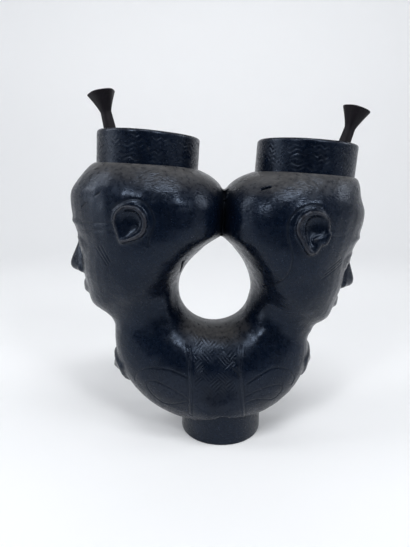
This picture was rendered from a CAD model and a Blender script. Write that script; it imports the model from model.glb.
"""Looks of a double palm-wine cup: one carved block of blackened wood, and a loose stick in each cup."""

from math import cos, pi, radians, sin

import bmesh
import bpy
import numpy as np
from mathutils import Matrix, Vector, noise


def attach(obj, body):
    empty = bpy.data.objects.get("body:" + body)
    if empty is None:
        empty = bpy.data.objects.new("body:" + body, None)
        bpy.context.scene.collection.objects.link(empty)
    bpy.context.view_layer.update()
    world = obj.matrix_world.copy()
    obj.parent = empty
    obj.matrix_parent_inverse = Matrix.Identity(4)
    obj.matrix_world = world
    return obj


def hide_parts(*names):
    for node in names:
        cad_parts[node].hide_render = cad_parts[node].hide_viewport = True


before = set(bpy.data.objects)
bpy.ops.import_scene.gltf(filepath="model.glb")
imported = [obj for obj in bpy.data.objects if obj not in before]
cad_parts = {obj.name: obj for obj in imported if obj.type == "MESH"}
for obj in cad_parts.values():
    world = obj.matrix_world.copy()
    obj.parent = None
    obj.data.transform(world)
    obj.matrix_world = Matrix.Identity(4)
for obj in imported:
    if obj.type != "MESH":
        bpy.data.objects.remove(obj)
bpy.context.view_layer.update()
scene = bpy.context.scene

# Sizes in millimetres, as in the part's source. All but the foot leans over in one piece.
# A pair of values is for the left head and the right head.
MM = 0.001
LEAN, LEAN_SHIFT = radians(3.75), -12
LEANED = Matrix.Translation((LEAN_SHIFT * MM, 0, 0)) @ Matrix.Rotation(LEAN, 4, "Y")
SIDES = (-1, 1)
BEND_X, BEND_Z = -2, 124.5
NECK_DROP = radians(24)
CHIN_Z = 105
REACH = (119.5, 110.5)
EAR_U, EAR_Z, EAR_W = (64, 59), (178.5, 181), 25
RIM_U, RIM_R, RIM_WALL, LIP_ROUND = 61.2, (39.3, 38.4), 5.1, 2
LIP_Z, RIM_H, RIM_SUNK = (242.4, 244.2), (23.4, 23.8), 1.5
PLATE_U, PLATE_Z = (77, 80), (56.5, 71)
FOOT_R, FOOT_H, FOOT_SUNK, FOOT_BEVEL = 34.2, 31, 3, 1.2
STICK_R, STICK_LEN, STICK_LEAN = 5, (127, 125.5), (radians(15.41), radians(14.87))
STICK_U, STICK_Z = 66.2, (154.7, 156.5)
WAIST_R, WAIST_LEN = 4.1, 24
FLARE_R, FLARE_LEN, FLARE_DOME, FLARE_ROUND = 10.6, 16, 1.4, 0.7

# Carving on the block and the collars: widths, steps, depths, and how dark a cut is, from 0 to 1
ADZE_MARK, ADZE_DEPTH = 9, 0.3
RIDGE_W, RIDGE_RISE = 1.6, 0.5
GUTTER_OFF, GUTTER_W, GUTTER_DEPTH, GUTTER_DARK = 1.7, 1.5, 0.25, 0.3
STRAND_W, STRAND_STEP, STRAND_CUT, STRAND_DEPTH, STRAND_DARK = 9, 2.25, 1.3, 0.35, 0.6
RAISED_W, RAISED_RISE = 2, 0.1
LINE_DARK, NICK_DARK = 0.35, 1
HAIR_RISE = 0.25
CLEFT_W, CLEFT_DEPTH = 9, 7
BELLY_OVERHANG, NECK_FILL = 6.5, (3.6, 2.4)
ZIGZAGS, ZIGZAG_H, ZIGZAG_STEP, ZIGZAG_W, ZIGZAG_DEPTH, ZIGZAG_DARK = 32, 2.5, 3.2, 1.5, 0.22, 0.4

# Zones of the block. Two numbers are a soft step, and four are a zone with a soft step at either end.
# X and U are across, from the middle; Y is towards the front or the back; Z is up.
EAR_ROOM_W, EAR_ROOM_H, EAR_EDGE, EAR_Y = EAR_W / 2 + 4, 20, (1, 1.25), 40
FACE_FROM, FACE_FULL, FACE_Z, FACE_CRISP = 42, 34, (CHIN_Z - 10, CHIN_Z, 184, 196), 0.8
PLATE_EDGE, PLATE_Y, PLATE_CRISP = (24, 30), (25, 30), 0.9
MOUTH_EDGE, MOUTH_FROM, MOUTH_FULL = (40, 44), 9, 5
MEETING_U, MEETING_Z, MEETING_CRISP = (2, 6), BEND_Z + 20, 0.7
SEAT_Z, SEAT_CRISP = (32, 36), 0.6
NECK_U, NECK_EDGE, NECK_Y, NECK_Z = 46, (24, 34), (12, 22), (96, 106, 142, 154)
FINE_X, FINE_HALF_W, FINE_Y, FINE_TOP, CUT_ROOM, RAISED_ROOM = 3, 26, 16, 95, 1.2, 1.5
RIDGE_END_Z, WEAVE_Z = (78, 90), (44, 56, 76, 84)
CLEFT_Z = BEND_Z + 34, BEND_Z + 42, 202, 210
HAIR_Y, HAIR_U = 15, (20, 40, 44, 60)
BELLY_X, BELLY_EDGE, BELLY_Y, BELLY_Z = 9, (6, 32), (10, 25), (30, 56)
COLUMN_U, COLUMN_Y, COLUMN_Z, COLUMN_H = (28, 40, 62, 82), (0, 24), 117, 56
# How far the surface has to face the front or the back for lines to be cut in it
FACING = 0.05, 0.3

# Wear and dust: bends of the surface at which hollows go dark, edges are worn and hollows stay clean,
# the inside of the mouths, where nothing rubs, and where dust lies, with how far up the surface faces
DARK_BEND, HOLLOW_DARK, WORN_BEND, CLEAN_BEND = (0.1, 0.24), 0.5, (0.06, 0.2), (0.06, 0.16)
INSIDE_R, INSIDE_FLOOR, INSIDE_TOP = 36, 160, 237
CROWN_Z, CROWN_UP = (196, 216, 222, 226), (0.25, 0.9)
SADDLE_X, SADDLE_Z, SADDLE_TOP, SADDLE_UP = (24, 34), (80, 93), 112, (0.45, 0.95)
BELLY_DUST_Z, BELLY_DUST = (33, 37, 52, 72), 0.08

# Fineness of the meshes, and passes of smoothing for the facets, the necks and the last marks
SKIN_STEP = 1.0
EASE_LEVELS, FACET_PASSES, NECK_PASSES, LAST_PASSES = 20, 80, 250, 4
COLLAR_TURNS, COLLAR_ROWS, FOOT_TURNS, STICK_TURNS, PAPER_TURNS = 420, 36, 180, 48, 96
# Metres within which vertices are one, lie on the level that is asked for, or lie on a cutting plane
WELD, ON_LEVEL, ON_PLANE = 1e-6, 1e-5, 1e-7
# Radians between two faces above which their edge is shaded sharp
SHARP = 0.7
# Least squared length of an edge, and most bend at a vertex, that count when wear is worked out
SPAN_LEAST, BEND_MOST, BEND_PASSES = 0.4, 0.3, 3


def linear(code):
    """Turns an sRGB hex colour to linear RGBA."""
    parts = [int(code[i:i + 2], 16) / 255 for i in (1, 3, 5)]
    return (*(p / 12.92 if p <= 0.04045 else ((p + 0.055) / 1.055) ** 2.4 for p in parts), 1)


def feed(tree, node, inputs):
    """Sets a node's inputs; each takes a value, or a socket to link from."""
    for name, value in inputs.items():
        if isinstance(value, bpy.types.NodeSocket):
            tree.links.new(value, node.inputs[name])
        else:
            node.inputs[name].default_value = value


def add(tree, kind, inputs=None, **settings):
    """Adds a node with its settings and inputs."""
    made = tree.nodes.new(kind)
    for name, value in settings.items():
        setattr(made, name, value)
    feed(tree, made, inputs or {})
    return made


def new_material(name):
    """Starts a material, and gives it with its tree, its shader and the place on the object."""
    material = bpy.data.materials.new(name)
    material.use_nodes = True
    tree = material.node_tree
    return material, tree, tree.nodes["Principled BSDF"], add(tree, "ShaderNodeTexCoord").outputs["Object"]


def stretched(tree, place, scale):
    """Coordinates for a pattern that is drawn out along the axes with a small scale."""
    return add(tree, "ShaderNodeMapping", {"Vector": place, "Scale": scale}).outputs[0]


def speckle(tree, place, size, detail):
    """Noise with marks of a size in millimetres."""
    inputs = {"Vector": place, "Scale": 1 / (size * MM), "Detail": detail}
    return add(tree, "ShaderNodeTexNoise", inputs).outputs[0]


def remap(tree, value, low, high, at_low, at_high):
    """Turns the range from low to high into another one, and holds its ends."""
    inputs = {"Value": value, 1: low, 2: high, 3: at_low, 4: at_high}
    return add(tree, "ShaderNodeMapRange", inputs).outputs[0]


def times(tree, value, factor, plus=0):
    """Product of two values, plus a third."""
    return add(tree, "ShaderNodeMath", {0: value, 1: factor, 2: plus}, operation="MULTIPLY_ADD").outputs[0]


def blend(tree, share, under, over):
    """Mixes two colours, each a socket or an sRGB hex colour."""
    under, over = (linear(tone) if isinstance(tone, str) else tone for tone in (under, over))
    return add(tree, "ShaderNodeMix", {0: share, 6: under, 7: over}, data_type="RGBA").outputs[2]


def bump(tree, height, strength, depth, under=None):
    """Relief of a depth in millimetres, on top of another."""
    inputs = {"Height": height, "Strength": strength, "Distance": depth * MM}
    if under is not None:
        inputs["Normal"] = under
    return add(tree, "ShaderNodeBump", inputs).outputs[0]


def blackened_hardwood():
    """Dense hardwood, blackened and oiled: blue-black and satin, dusty on top, worn grey on edges."""
    material, tree, shader, place = new_material("blackened_hardwood")
    cut, worn, dust, hair = (add(tree, "ShaderNodeAttribute", attribute_name=name).outputs["Fac"]
                             for name in ("cut", "worn", "dust", "hair"))
    # Grain runs up the block: streaks 1.4 mm wide, drawn coarser than pores are, and ten times as long
    grain = speckle(tree, stretched(tree, place, (1, 1, 0.1)), size=1.4, detail=3)
    # Oil took unevenly, in patches about 16 mm across
    patch = speckle(tree, place, size=16, detail=4)
    # Handling marks about 3 mm across break up the polish
    rub = speckle(tree, place, size=3, detail=5)
    # Rows of close-set nicks about 1.5 mm across stand for the hair
    across = stretched(tree, place, (0.6, 0.6, 1.4))
    cells = add(tree, "ShaderNodeTexVoronoi", {"Vector": across, "Scale": 1 / (1.5 * MM)})
    nick = cells.outputs["Distance"]
    # Stain, paler along the grain, worn grey on edges, under a film of dust, and black in the cuts
    tone = blend(tree, patch, "#02040a", "#061020")
    tone = blend(tree, remap(tree, grain, 0.45, 0.75, at_low=0, at_high=0.5), tone, "#0b1422")
    tone = blend(tree, times(tree, worn, rub), tone, "#4c4a4b")
    film = times(tree, dust, remap(tree, rub, 0.3, 0.7, at_low=0.3, at_high=0.7))
    tone = blend(tree, film, tone, "#5f5d5b")
    tone = blend(tree, cut, tone, "#020306")
    # Satin where it was handled, duller under the dust and in the cuts
    rough = remap(tree, rub, 0.3, 0.7, at_low=0.2, at_high=0.36)
    rough = times(tree, film, 0.15, plus=rough)
    rough = times(tree, cut, 0.25, plus=rough)
    relief = bump(tree, grain, strength=0.3, depth=0.12)
    relief = bump(tree, rub, strength=0.4, depth=0.4, under=relief)
    relief = bump(tree, times(tree, nick, hair), strength=0.28, depth=0.5, under=relief)
    feed(tree, shader, {"Base Color": tone, "Roughness": rough, "Normal": relief, "IOR": 1.35,
                        "Specular IOR Level": 0.5, "Specular Tint": linear("#cfe2ff")})
    return material


def stained_stick():
    """Whittled hardwood stick stained by wine: purple-brown and matt, with fine lengthwise fibre."""
    material, tree, shader, place = new_material("stained_stick_wood")
    # Fibre 0.8 mm wide and twelve times as long, on a stick that stands nearly upright
    fibre = speckle(tree, stretched(tree, place, (1, 1, 0.08)), size=0.8, detail=3)
    # Wine took in patches about 8 mm across
    stain = speckle(tree, place, size=8, detail=3)
    tone = blend(tree, stain, "#0b0a0f", "#17141a")
    tone = blend(tree, remap(tree, fibre, 0.4, 0.7, at_low=0, at_high=0.6), tone, "#1f1a20")
    feed(tree, shader, {"Base Color": tone, "Roughness": 0.5, "Specular IOR Level": 0.15,
                        "Normal": bump(tree, fibre, strength=0.4, depth=0.2)})
    return material


def graduated_paper():
    """Paper that is white under, beside and behind the cup, and grey 0.2 to 0.5 m in front of it."""
    material, tree, shader, place = new_material("graduated_paper")
    axes = add(tree, "ShaderNodeSeparateXYZ", {0: place}).outputs
    aside = add(tree, "ShaderNodeMath", {0: axes["X"]}, operation="ABSOLUTE").outputs[0]
    shade = remap(tree, times(tree, aside, 0.45, plus=axes["Y"]), -0.5, -0.2, at_low=0, at_high=1)
    feed(tree, shader, {"Base Color": blend(tree, shade, "#505358", "#f3f3f4"), "Roughness": 0.9})
    return material


CUP_WOOD = blackened_hardwood()
STICK_WOOD = stained_stick()


def new_piece(name, shape):
    """Makes an object at the origin from a bmesh."""
    mesh = bpy.data.meshes.new(name)
    shape.to_mesh(mesh)
    shape.free()
    piece = bpy.data.objects.new(name, mesh)
    scene.collection.objects.link(piece)
    return piece


def dress(piece, material, body, node):
    """Finishes a piece, and lets it ride and stand for its CAD node."""
    piece.data.materials.clear()
    piece.data.materials.append(material)
    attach(piece, body)
    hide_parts(node)


def settle(piece):
    """Applies a piece's modifiers to its mesh."""
    graph = bpy.context.evaluated_depsgraph_get()
    mesh = bpy.data.meshes.new_from_object(piece.evaluated_get(graph))
    piece.modifiers.clear()
    piece.data = mesh


def rows(mesh, field):
    """A mesh's vertex places or normals, one row each."""
    found = np.empty(len(mesh.vertices) * 3)
    mesh.vertices.foreach_get(field, found)
    return found.reshape(-1, 3)


def upright(mesh):
    """Vertex places in millimetres and normals, turned out of the lean."""
    turn = np.array(LEANED.to_3x3())
    return (rows(mesh, "co") - LEANED.translation) @ turn / MM, rows(mesh, "normal") @ turn


def move(mesh, places):
    """Puts a mesh's vertices at new places."""
    mesh.vertices.foreach_set("co", places.ravel())
    mesh.update()


def store(mesh, name, values):
    """Keeps one number for each vertex for the material to read."""
    layer = mesh.attributes.new(name, "FLOAT", "POINT")
    layer.data.foreach_set("value", np.clip(values, 0, 1).astype(np.float32))


def ramp(value, low, high):
    """0 below low, 1 above high and a soft step between."""
    t = np.clip((value - low) / (high - low), 0, 1)
    return t * t * (3 - 2 * t)


def fall(value, low, high):
    """1 below low, 0 above high and a soft step between."""
    return 1 - ramp(value, low, high)


def zone(value, start, full, fade, end):
    """0 before start, 1 from full to fade, 0 after end and soft steps between."""
    return ramp(value, start, full) * fall(value, fade, end)


def groove(distance, width):
    """Share of a rounded cut's depth at a distance from its line."""
    return np.clip(1 - (2 * distance / width) ** 2, 0, None)


def through(*corners, steps=6):
    """Smooth line through corners in a plane."""
    knots = np.array([corners[0], *corners, corners[-1]], dtype=float)
    line = []
    for p0, p1, p2, p3 in zip(knots, knots[1:], knots[2:], knots[3:]):
        for f in np.arange(steps) / steps:
            line.append(0.5 * (2 * p1 + (p2 - p0) * f + (2 * p0 - 5 * p1 + 4 * p2 - p3) * f * f
                               + (3 * p1 - p0 - 3 * p2 + p3) * f ** 3))
    return np.array([*line, knots[-1]])


def gap_to(line, points):
    """Distance of points from a line."""
    nearest = np.full(len(points), np.inf)
    for a, b in zip(line, line[1:]):
        run = b - a
        t = np.clip((points - a) @ run / (run @ run), 0, 1)
        nearest = np.minimum(nearest, np.linalg.norm(points - a - t[:, None] * run, axis=1))
    return nearest


def of_side(pair, right):
    """The left or the right value for each vertex."""
    return np.where(right, pair[1], pair[0])


def fine_skin():
    """One fine closed skin over the heads and the torso: the block as it is carved."""
    shape = bmesh.new()
    for node in ("left_head", "right_head", "torso"):
        shape.from_mesh(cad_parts[node].data)
    bmesh.ops.remove_doubles(shape, verts=shape.verts, dist=WELD)
    block = new_piece("block", shape)
    skin = block.modifiers.new("skin", "REMESH")
    skin.mode = "VOXEL"
    skin.voxel_size = SKIN_STEP * MM
    skin.use_smooth_shade = True
    settle(block)
    drop_inner_shells(block.data)
    return block


def drop_inner_shells(mesh):
    """Keeps only the shell that holds the lowest vertex."""
    shape = bmesh.new()
    shape.from_mesh(mesh)
    for vert in shape.verts:
        vert.tag = False
    ahead = [min(shape.verts, key=lambda vert: vert.co.z)]
    ahead[0].tag = True
    while ahead:
        vert = ahead.pop()
        for edge in vert.link_edges:
            other = edge.other_vert(vert)
            if not other.tag:
                other.tag = True
                ahead.append(other)
    bmesh.ops.delete(shape, geom=[vert for vert in shape.verts if not vert.tag], context="VERTS")
    shape.to_mesh(mesh)
    shape.free()


def ease(block, weights, passes):
    """Smooths facets away, each vertex by its weight."""
    group = block.vertex_groups.new(name="ease")
    levels = np.round(weights * EASE_LEVELS).astype(int)
    for level in range(1, EASE_LEVELS + 1):
        group.add(np.flatnonzero(levels == level).tolist(), level / EASE_LEVELS, "REPLACE")
    smooth = block.modifiers.new("ease", "SMOOTH")
    smooth.factor = 0.5
    smooth.iterations = passes
    smooth.vertex_group = "ease"
    settle(block)
    block.vertex_groups.clear()


def crisp_forms(mesh):
    """How far the block keeps its crisp forms, from 0 to 1."""
    x, y, z = upright(mesh)[0].T
    u, right = np.abs(x), x > 0
    ear = np.hypot((u - of_side(EAR_U, right)) / EAR_ROOM_W, (z - of_side(EAR_Z, right)) / EAR_ROOM_H)
    nose = of_side(REACH, right)
    plate = np.hypot(u - of_side(PLATE_U, right), z - of_side(PLATE_Z, right))
    crown = of_side(LIP_Z, right) - of_side(RIM_H, right)
    return np.max([
        # Ears
        fall(ear, *EAR_EDGE) * (np.abs(y) > EAR_Y),
        # Faces, from the chin to the brow
        FACE_CRISP * ramp(u, nose - FACE_FROM, nose - FACE_FULL) * zone(z, *FACE_Z),
        # Chest plates
        PLATE_CRISP * fall(plate, *PLATE_EDGE) * fall(np.abs(y), *PLATE_Y),
        # Mouths, below the collars
        fall(np.hypot(u - RIM_U, y), *MOUTH_EDGE) * ramp(z, crown - MOUTH_FROM, crown - MOUTH_FULL),
        # Where the heads meet
        MEETING_CRISP * fall(u, *MEETING_U) * (z > MEETING_Z),
        # Seat of the foot
        SEAT_CRISP * fall(z, *SEAT_Z),
    ], axis=0)


def neck_folds(mesh):
    """Where the necks flow into the heads with no fold, beside the opening."""
    x, y, z = upright(mesh)[0].T
    return fall(np.abs(np.abs(x) - NECK_U), *NECK_EDGE) * zone(z, *NECK_Z) * ramp(np.abs(y), *NECK_Y)


def refine(block):
    """Halves the mesh where fine lines are cut."""
    co, normal = upright(block.data)
    x, y, z = co.T
    flat = co[:, [0, 2]]
    # The woven panel, then each line and a little room beside it
    near = (np.abs(x - FINE_X) < FINE_HALF_W) & (z < FINE_TOP) & (np.abs(y) > FINE_Y)
    for line, width, _ in CUT_LINES:
        near |= gap_to(line, flat) < width / 2 + CUT_ROOM
    for line in RAISED_LINES:
        near |= gap_to(line, flat) < RAISED_W / 2 + RAISED_ROOM
    for line, width, _ in NICKS:
        near |= gap_to(line, co) < width
    near &= normal[:, 1] * np.sign(y) > 0
    shape = bmesh.new()
    shape.from_mesh(block.data)
    edges = [edge for edge in shape.edges if near[edge.verts[0].index] and near[edge.verts[1].index]]
    bmesh.ops.subdivide_edges(shape, edges=edges, cuts=1, use_grid_fill=True)
    shape.to_mesh(block.data)
    shape.free()


def woven_panel(x, y, z):
    """Depth share of the cuts between woven strands, inside the raised edges down the torso."""
    levels = [28, 60, 85, 100]
    middle = np.interp(z, levels, [6.2, 2.4, 0, -0.5])
    half = np.interp(z, levels, [21, 19.6, 19.4, 24])
    inside = fall(np.abs(x - middle), half - 4, half - 3) * (z < levels[-1])
    # Strands run both ways at 45 degrees and change over from square to square
    rising, falling = (x - middle + z) * 0.7071, (x - middle - z) * 0.7071
    strand = np.where((rising // STRAND_W + falling // STRAND_W) % 2 == 0, rising, falling)
    woven = groove(np.abs(strand / STRAND_STEP % 1 - 0.5) * STRAND_STEP, STRAND_CUT) * inside
    woven *= 0.3 + 0.7 * zone(z, *WEAVE_Z)
    # Handling has rubbed the strands away in patches
    patches = np.sin(x / 5.3 + z / 9) * np.sin(z / 6.1 - x / 11 + np.sign(y))
    return woven * (0.25 + 0.75 * ramp(patches, -0.5, 0.4))


def hair_edge(u, right):
    """Height of the hair's lower edge at a distance from the middle."""
    return of_side((np.interp(u, [0, 48, 52, 66, 80, 120], [192, 193, 196, 199, 200, 204]),
                    np.interp(u, [0, 44, 50, 66, 80, 120], [180, 184, 197, 200, 201, 204])), right)


def carve(block):
    """Carves the block's surface, and gives how dark each vertex is in a cut, from 0 to 1."""
    co, normal = upright(block.data)
    x, y, z = co.T
    u, facing, flat = np.abs(x), np.sign(y), co[:, [0, 2]]
    outer = ramp(normal[:, 1] * facing, *FACING)
    # Soft hollows left by the adze
    adze = np.array([noise.noise(Vector(place), noise_basis="PERLIN_NEW") for place in co / ADZE_MARK])
    rise = ADZE_DEPTH * adze * (1 - crisp_forms(block.data))
    # Every cut has its share of the depth at each vertex, its depth and its darkness
    cuts = [(woven_panel(x, y, z) * outer, STRAND_DEPTH, STRAND_DARK)]
    # Raised edges of the panel, with a gutter on either side
    for line in BAND_EDGES:
        gap, fade = gap_to(line, flat), outer * fall(z, *RIDGE_END_Z)
        rise += RIDGE_RISE * groove(gap, RIDGE_W) * fade
        cuts.append((groove(gap - GUTTER_OFF, GUTTER_W) * fade, GUTTER_DEPTH, GUTTER_DARK))
    for line in RAISED_LINES:
        rise += RAISED_RISE * groove(gap_to(line, flat), RAISED_W) * outer
    cuts += [(groove(gap_to(line, flat), width) * outer, depth, LINE_DARK)
             for line, width, depth in CUT_LINES]
    cuts += [(groove(gap_to(line, co), width), depth, NICK_DARK) for line, width, depth in NICKS]
    # The heads meet in a dark cleft, pushed in from the front and the back
    cleft = np.clip(1 - u / CLEFT_W, 0, None) ** 2 * zone(z, *CLEFT_Z) * outer
    dark = cleft
    for share, depth, darkness in cuts:
        rise -= depth * share
        dark = np.maximum(dark, darkness * share)
    # The hair stands a little proud behind the ears and fades out over the brow
    above, haired = z - hair_edge(u, x > 0), np.abs(y) > HAIR_Y
    rise += HAIR_RISE * ramp(above, -1, 1) * haired * zone(u, *HAIR_U)
    store(block.data, "hair", ramp(above, -2, 10) * haired)
    # The belly hangs a little over the foot at the front and the back
    belly = BELLY_OVERHANG * fall(z, *BELLY_Z) * fall(np.abs(x - BELLY_X), *BELLY_EDGE)
    belly *= ramp(np.abs(y), *BELLY_Y)
    # The necks run up into the heads as even columns
    column = of_side(NECK_FILL, x > 0) * groove(z - COLUMN_Z, COLUMN_H) ** 2
    column *= zone(u, *COLUMN_U) * ramp(np.abs(y), *COLUMN_Y)
    co[:, 1] += (belly + column - CLEFT_DEPTH * cleft) * facing
    co += normal * rise[:, None]
    move(block.data, co * MM @ np.array(LEANED.to_3x3()).T + LEANED.translation)
    return dark


def hollows(mesh, co, normal):
    """Bend of the surface at each vertex, evened out: above 0 in hollows and below 0 on edges."""
    count = len(co)
    ends = np.empty(len(mesh.edges) * 2, dtype=np.int32)
    mesh.edges.foreach_get("vertices", ends)
    i, j = ends.reshape(-1, 2).T
    run = co[j] - co[i]
    span = np.maximum((run * run).sum(1), SPAN_LEAST)
    uses = np.bincount(i, minlength=count) + np.bincount(j, minlength=count)
    hollow = (np.bincount(i, (normal[i] * run).sum(1) / span, count)
              - np.bincount(j, (normal[j] * run).sum(1) / span, count)) / uses
    hollow = np.clip(hollow, -BEND_MOST, BEND_MOST)
    for _ in range(BEND_PASSES):
        hollow = (np.bincount(i, hollow[j], count) + np.bincount(j, hollow[i], count)) / uses
    return hollow


def weather(mesh, dark):
    """Notes where the wood is dark in cuts, worn bright on its edges, and dusty on top."""
    co, normal = upright(mesh)
    x, y, z = co.T
    hollow = hollows(mesh, co, normal)
    store(mesh, "cut", np.maximum(dark, HOLLOW_DARK * ramp(hollow, *DARK_BEND)))
    # Nothing rubs inside a mouth below its lip
    handled = (np.hypot(np.abs(x) - RIM_U, y) > INSIDE_R) | (z < INSIDE_FLOOR) | (z > INSIDE_TOP)
    store(mesh, "worn", ramp(-hollow, *WORN_BEND) * handled)
    # Dust lies round the collars, in the saddle under the opening, and thinly on the belly
    up = normal[:, 2]
    crown = zone(z, *CROWN_Z) * ramp(up, *CROWN_UP)
    saddle = ramp(z, *SADDLE_Z) * (z < SADDLE_TOP) * fall(np.abs(x), *SADDLE_X) * ramp(up, *SADDLE_UP)
    belly = BELLY_DUST * zone(z, *BELLY_DUST_Z)
    store(mesh, "dust", np.maximum(np.maximum(crown, saddle) * fall(hollow, *CLEAN_BEND), belly))


def cut_out(block, name, cuts, node):
    """Cuts one region out of the block by planes, and closes the cuts."""
    shape = bmesh.new()
    shape.from_mesh(block.data)
    for place, outward in cuts:
        bmesh.ops.bisect_plane(shape, geom=[*shape.verts, *shape.edges, *shape.faces], dist=ON_PLANE,
                               plane_co=LEANED @ (place * MM), plane_no=LEANED.to_3x3() @ outward,
                               clear_outer=True)
    rim = [edge for edge in shape.edges if edge.is_boundary]
    bmesh.ops.holes_fill(shape, edges=rim, sides=0)
    for edge in rim:
        edge.smooth = False
    piece = new_piece(name, shape)
    dress(piece, CUP_WOOD, "cup", node)


def spun(outline, turns):
    """Closed shape turned about the upright axis from an outline of radii and heights."""
    shape = bmesh.new()
    verts = [shape.verts.new((r * MM, 0, h * MM)) for r, h in outline]
    edges = [shape.edges.new(pair) for pair in zip(verts, verts[1:])]
    if outline[0][0] > 0:
        edges.append(shape.edges.new((verts[-1], verts[0])))
    bmesh.ops.spin(shape, geom=[*verts, *edges], cent=(0, 0, 0), axis=(0, 0, 1), angle=2 * pi,
                   steps=turns, use_merge=True)
    bmesh.ops.remove_doubles(shape, verts=shape.verts, dist=WELD)
    bmesh.ops.recalc_face_normals(shape, faces=shape.faces)
    for face in shape.faces:
        face.smooth = True
    return shape


def crisp_corners(shape):
    """Keeps the shading of a turned shape's corners sharp."""
    for edge in shape.edges:
        edge.smooth = edge.calc_face_angle(0) < SHARP


def at_radius(vert, radius):
    """Whether a vertex of a turned shape is at a radius."""
    return abs(vert.co.xy.length - radius * MM) < ON_LEVEL


def level_edges(shape, radius, height):
    """Edges that run round a turned shape at a radius and a height."""
    return [edge for edge in shape.edges if all(
        at_radius(vert, radius) and abs(vert.co.z - height * MM) < ON_LEVEL for vert in edge.verts)]


def round_off(shape, edges, size, segments):
    """Rounds edges off over a size in millimetres."""
    bmesh.ops.bevel(shape, geom=edges, offset=size * MM, affect="EDGES", segments=segments, profile=0.5,
                    material=-1)


def zigzag_rows(turn, height, top):
    """Depth share of the zigzag cuts on a collar's wall, at a share of its turn and a height."""
    def wave(count, start=0):
        """Sine that comes round a number of times in a turn."""
        return np.sin(2 * pi * count * turn + start)

    # Cut by an unsteady hand, and half rubbed away
    drift = 0.3 * wave(5) + 0.2 * wave(3, height / 3)
    peak = 2 * ZIGZAG_H * np.abs((ZIGZAGS * turn + drift) % 1 - 0.5) + 0.8 * wave(7, 1)
    row = np.abs((height - peak) / ZIGZAG_STEP % 1 - 0.5) * ZIGZAG_STEP
    patches = wave(9, height / 2) * wave(4, -height / 5)
    left_over = 0.45 + 0.55 * ramp(patches, -0.3, 0.5)
    # A plain strip is left below the first row and below the lip
    return left_over * groove(row, ZIGZAG_W) * zone(height, 1.5, 2.5, top - 4.2, top - 3.4)


def collar(side, name, node):
    """Upright collar round a mouth, cut all round with rows of zigzags."""
    outer, height = RIM_R[side], RIM_H[side]
    inner = outer - RIM_WALL
    shape = spun([(inner + RIM_SUNK, -RIM_SUNK), (outer, -RIM_SUNK), (outer, height), (inner, height),
                  (inner, 0)], COLLAR_TURNS)
    round_off(shape, level_edges(shape, inner, height) + level_edges(shape, outer, height), LIP_ROUND, 5)
    wall = [edge for edge in shape.edges if all(at_radius(vert, outer) for vert in edge.verts)
            and abs(edge.verts[0].co.z - edge.verts[1].co.z) > height / 2 * MM]
    bmesh.ops.subdivide_edges(shape, edges=wall, cuts=COLLAR_ROWS, use_grid_fill=True)
    crisp_corners(shape)
    piece = new_piece(name, shape)
    x, y, z = rows(piece.data, "co").T / MM
    turn, reach = np.arctan2(y, x), np.hypot(x, y)
    cut = zigzag_rows(turn / (2 * pi), z, height) * (reach > outer - 0.1)
    # Cut by hand, so neither quite round nor quite level
    waver = 0.25 * np.sin(3 * turn + 1 + side) + 0.18 * np.sin(7 * turn + 2 * side)
    wide = (reach + waver - ZIGZAG_DEPTH * cut) / reach
    high = z + 0.25 * np.sin(2 * turn + side) * ramp(z, height - 8, height - 2)
    move(piece.data, np.stack([x * wide, y * wide, high], axis=1) * MM)
    crown = Vector((SIDES[side] * RIM_U, 0, LIP_Z[side] - height))
    piece.data.transform(LEANED @ Matrix.Translation(crown * MM))
    weather(piece.data, ZIGZAG_DARK * cut)
    dress(piece, CUP_WOOD, "cup", node)


def foot():
    """Short round foot with a soft shoulder, sunk a little way into the torso."""
    shoulder = [(0, -3), (0.5, -1.2), (0.8, 0.2), (0.3, 1.3), (-1.2, 2), (-6, FOOT_SUNK)]
    shape = spun([(0, 0), (FOOT_R, 0), *((FOOT_R + out, FOOT_H + up) for out, up in shoulder),
                  (0, FOOT_H + FOOT_SUNK)], FOOT_TURNS)
    round_off(shape, level_edges(shape, FOOT_R, 0), FOOT_BEVEL, 4)
    crisp_corners(shape)
    piece = new_piece("round_foot", shape)
    x, y, z = rows(piece.data, "co").T
    turn = np.arctan2(y, x)
    wide = 1 + 0.006 * np.sin(2 * turn + 0.6) + 0.003 * np.sin(5 * turn)
    move(piece.data, np.stack([x * wide, y * wide, z], axis=1))
    weather(piece.data, np.zeros(len(x)))
    dress(piece, CUP_WOOD, "cup", "foot")


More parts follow.
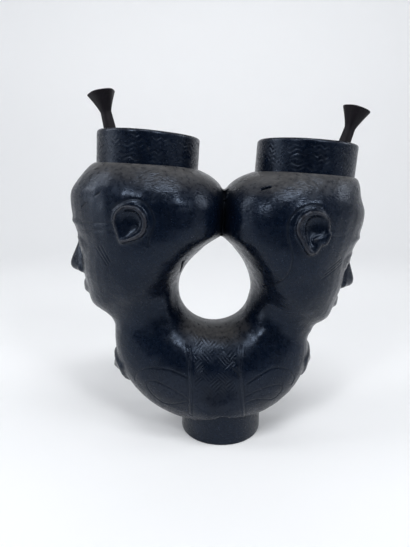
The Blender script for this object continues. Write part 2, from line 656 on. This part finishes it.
def stick(side, name, node):
    """Loose whittled stick with a round end, a waist and a flared head."""
    top = STICK_LEN[side] - STICK_R
    flare = top - FLARE_LEN
    outline = [(STICK_R * sin(a), -STICK_R * cos(a)) for a in np.linspace(0, pi / 2, 7)]
    outline += [(STICK_R, h) for h in np.linspace(0, flare - WAIST_LEN, 24)[1:]]
    outline += [(STICK_R + (WAIST_R - STICK_R) * f, flare + WAIST_LEN * (f - 1))
                for f in np.linspace(0, 1, 8)[1:]]
    outline += [(WAIST_R + (FLARE_R - WAIST_R) * f ** 1.2, flare + (FLARE_LEN - FLARE_DOME) * f)
                for f in np.linspace(0, 1, 11)[1:]]
    outline += [(FLARE_R * 0.6, top - FLARE_DOME * 0.35), (0, top)]
    shape = spun(outline, STICK_TURNS)
    round_off(shape, level_edges(shape, FLARE_R, top - FLARE_DOME), FLARE_ROUND, 3)
    crisp_corners(shape)
    piece = new_piece(name, shape)
    x, y, z = rows(piece.data, "co").T / MM
    turn = np.arctan2(y, x)
    whittled = 0.03 * np.sin(5 * turn + z / 11 + side) + 0.02 * np.sin(3 * turn - z / 6)
    wide = 1 + whittled * np.clip(z / 10, 0, 1)
    move(piece.data, np.stack([x * wide, y * wide, z], axis=1) * MM)
    place = Matrix.Translation(Vector((SIDES[side] * STICK_U, 0, STICK_Z[side])) * MM)
    tilt = Matrix.Rotation(SIDES[side] * STICK_LEAN[side], 4, "Y")
    piece.data.transform(LEANED @ place @ tilt)
    dress(piece, STICK_WOOD, node, node)


# Carved lines as places across and up, the same on the front and the back.
# First the raised edges of the band down the torso.
BAND_EDGES = [
    through((-34.5, 102.2), (-27.5, 92.9), (-20.3, 82.1), (-17.3, 59.7), (-14.9, 28.5)),
    through((31.8, 107.4), (26, 97.1), (20.2, 86.3), (22.1, 62.3), (27.4, 27.5)),
]
LEAF_LOOPS = [
    [(-17.1, 41.4), (-33.7, 34.9), (-43.6, 38.7), (-49.4, 45.5), (-51.1, 51.1), (-47.8, 54.9),
     (-40.5, 54.6), (-24.4, 47.1), (-17.1, 41.4)],
    [(-61.6, 50.9), (-59.6, 59), (-49, 66), (-33.2, 66.3), (-18.9, 61.2)],
    [(27.8, 43.1), (37.2, 45.4), (49.1, 44.2), (54.5, 48.4), (56, 54.3), (52.9, 57.9), (41.6, 56),
     (27.2, 48.9)],
    [(27, 59.3), (38, 67.8), (47.9, 72.7), (58.9, 70.3), (65.8, 61.3), (64.3, 54.7)],
]
# Edge of the hair round and behind each ear
LEFT_HAIRLINE = [
    [(-77.4, 187.6), (-71.4, 192.4), (-63.1, 195.4), (-54.9, 194), (-49.8, 187.9), (-47.6, 180.1),
     (-50.6, 171), (-51.6, 164.7)],
]
RIGHT_HAIRLINE = [
    [(63.2, 198.8), (56, 199.4), (47.4, 195.2), (42, 187.3), (42.8, 177), (45.7, 169.4), (47.9, 163),
     (48, 159), (47.7, 152.7), (45.1, 146.4), (39.2, 139.4), (34.1, 136)],
]
# Fine cuts between the raised temple lines, and nested lines on the cheeks
TEMPLE_CUTS = [
    [(-102.3, 169.8), (-89.5, 171.8), (-77, 173.4)],
    [(-102.4, 175.2), (-89.5, 177), (-77, 178.6)],
    [(72, 178.6), (84.8, 178.8)],
]
CHEEK_CUTS = [
    [(-90.6, 159.1), (-81.4, 147.7)],
    [(-87.8, 160), (-79.9, 149)],
    [(-85, 160.8), (-78.4, 150.4)],
    [(88.2, 158.1), (72.1, 147.6)],
    [(87.3, 160), (73.8, 151)],
    [(86.4, 161.9), (75.4, 154.4)],
]
# Each line with its width and its depth
CUT_LINES = [(through(*corners), width, depth) for group, width, depth in (
    (LEAF_LOOPS, 1.6, 0.35), (LEFT_HAIRLINE, 2.4, 0.4), (RIGHT_HAIRLINE, 2, 0.6), (TEMPLE_CUTS, 1.5, 0.22),
    (CHEEK_CUTS, 1.4, 0.25)) for corners in group]
RAISED_LINES = [
    through((-102.4, 172.5), (-89.5, 174.4), (-77, 176)),
    through((-102.1, 167.1), (-89.6, 169.2), (-76.2, 170.9)),
    through((72, 181.5), (84.8, 181.6)),
]
# Old damage on the near side, as places in the round, a width and a depth: a chip, a temple scratch,
# a splinter at the opening and two scratches on the torso
NICKS = [
    (np.array([(23.9, -44.8, 207.6), (29.1, -45.7, 209.3)]), 2.6, 2.4),
    (np.array([(-101.6, -38.2, 187.2), (-86.7, -48.2, 198)]), 1.5, 0.6),
    (np.array([(-28.2, -35, 152), (-29.5, -27, 147), (-31, -19, 141)]), 3, 2.2),
    (np.array([(15.3, -37.4, 71), (21.1, -39, 64.6)]), 1.4, 0.35),
    (np.array([(18.3, -37.3, 72), (21.7, -38.5, 67.8)]), 1.4, 0.35),
]

block = fine_skin()
ease(block, 1 - crisp_forms(block.data), FACET_PASSES)
ease(block, neck_folds(block.data), NECK_PASSES)
ease(block, np.ones(len(block.data.vertices)), LAST_PASSES)
refine(block)
weather(block.data, carve(block))
bend, meeting = Vector((BEND_X, 0, BEND_Z)), Vector((0, 0, 0))
left_neck, right_neck = (Vector((-side * sin(NECK_DROP), 0, -cos(NECK_DROP))) for side in SIDES)
cut_out(block, "left_carved_head", [(meeting, Vector((1, 0, 0))), (bend, left_neck)], "left_head")
cut_out(block, "right_carved_head", [(meeting, Vector((-1, 0, 0))), (bend, right_neck)], "right_head")
cut_out(block, "carved_torso", [(bend, -left_neck), (bend, -right_neck)], "torso")
bpy.data.objects.remove(block)
collar(0, "left_collar", "left_rim")
collar(1, "right_collar", "right_rim")
foot()
stick(0, "left_wine_stick", "left_stick")
stick(1, "right_wine_stick", "right_stick")

# Paper sweep in millimetres, lamps and view in metres
PAPER_R, PAPER_H, PAPER_CURVE = 1700, 1300, 700
LAMP_TINT, SKY_TINT, SKY_POWER = (0.96, 0.98, 1), (0.92, 0.96, 1, 1), 0.1
# Each lamp's name, place, aim, width, depth and power in watts
LAMPS = [
    ("overhead", (0.15, -0.42, 1.15), (0, 0, 0.15), 0.6, 0.2, 5),
    ("left", (-1.05, -0.08, 0.88), (0, 0, 0.15), 0.4, 0.85, 5),
    ("low left", (-1.3, -0.3, 0.25), (0, 0, 0.17), 0.4, 0.4, 1.5),
    ("right", (1.1, -0.05, 0.8), (0, 0, 0.15), 0.4, 0.6, 3.4),
    ("front left", (-0.55, -0.85, 0.78), (0, 0, 0.1), 0.2, 0.3, 4),
    ("front right", (0.55, -0.85, 0.78), (0, 0, 0.1), 0.2, 0.3, 4),
    ("behind", (0, 0.6, 1.3), (0, 1.7, 0.4), 1.2, 0.5, 7),
]
# The photograph's view: focal length and longer side in pixels, place, and degrees that it looks down
FOCAL_PX, LONG_SIDE_PX, SENSOR = 411, 547, 36
VIEW_PLACE, VIEW_DIP = (-0.01375, -0.333, 0.208), 12.1


def paper_sweep():
    """Pale floor that turns up into a round wall far behind the cup."""
    shape = spun([(0, 0), (PAPER_R, 0), (PAPER_R, PAPER_H)], PAPER_TURNS)
    round_off(shape, level_edges(shape, PAPER_R, 0), PAPER_CURVE, 16)
    if sum(face.normal.z for face in shape.faces) < 0:
        bmesh.ops.reverse_faces(shape, faces=shape.faces)
    floor = new_piece("paper_sweep", shape)
    floor.data.materials.append(graduated_paper())


def soft_lamp(name, place, aim, width, depth, power):
    """Soft box lamp that looks at a point."""
    lamp = bpy.data.lights.new(name, "AREA")
    lamp.shape = "RECTANGLE"
    lamp.size = width
    lamp.size_y = depth
    lamp.energy = power
    lamp.color = LAMP_TINT
    holder = bpy.data.objects.new(name, lamp)
    scene.collection.objects.link(holder)
    holder.location = place
    holder.rotation_euler = (Vector(aim) - Vector(place)).to_track_quat("-Z", "Y").to_euler()


paper_sweep()
for lamp in LAMPS:
    soft_lamp(*lamp)
sky = bpy.data.worlds.new("dim_room")
sky.use_nodes = True
feed(sky.node_tree, sky.node_tree.nodes["Background"], {"Color": SKY_TINT, "Strength": SKY_POWER})
scene.world = sky

lens = bpy.data.cameras.new("view")
lens.sensor_width = SENSOR
lens.lens = SENSOR * FOCAL_PX / LONG_SIDE_PX
lens.clip_start = 0.01
view = bpy.data.objects.new("view", lens)
scene.collection.objects.link(view)
view.location = VIEW_PLACE
view.rotation_euler = (radians(90 - VIEW_DIP), 0, 0)
scene.camera = view
scene.view_settings.view_transform = "Standard"
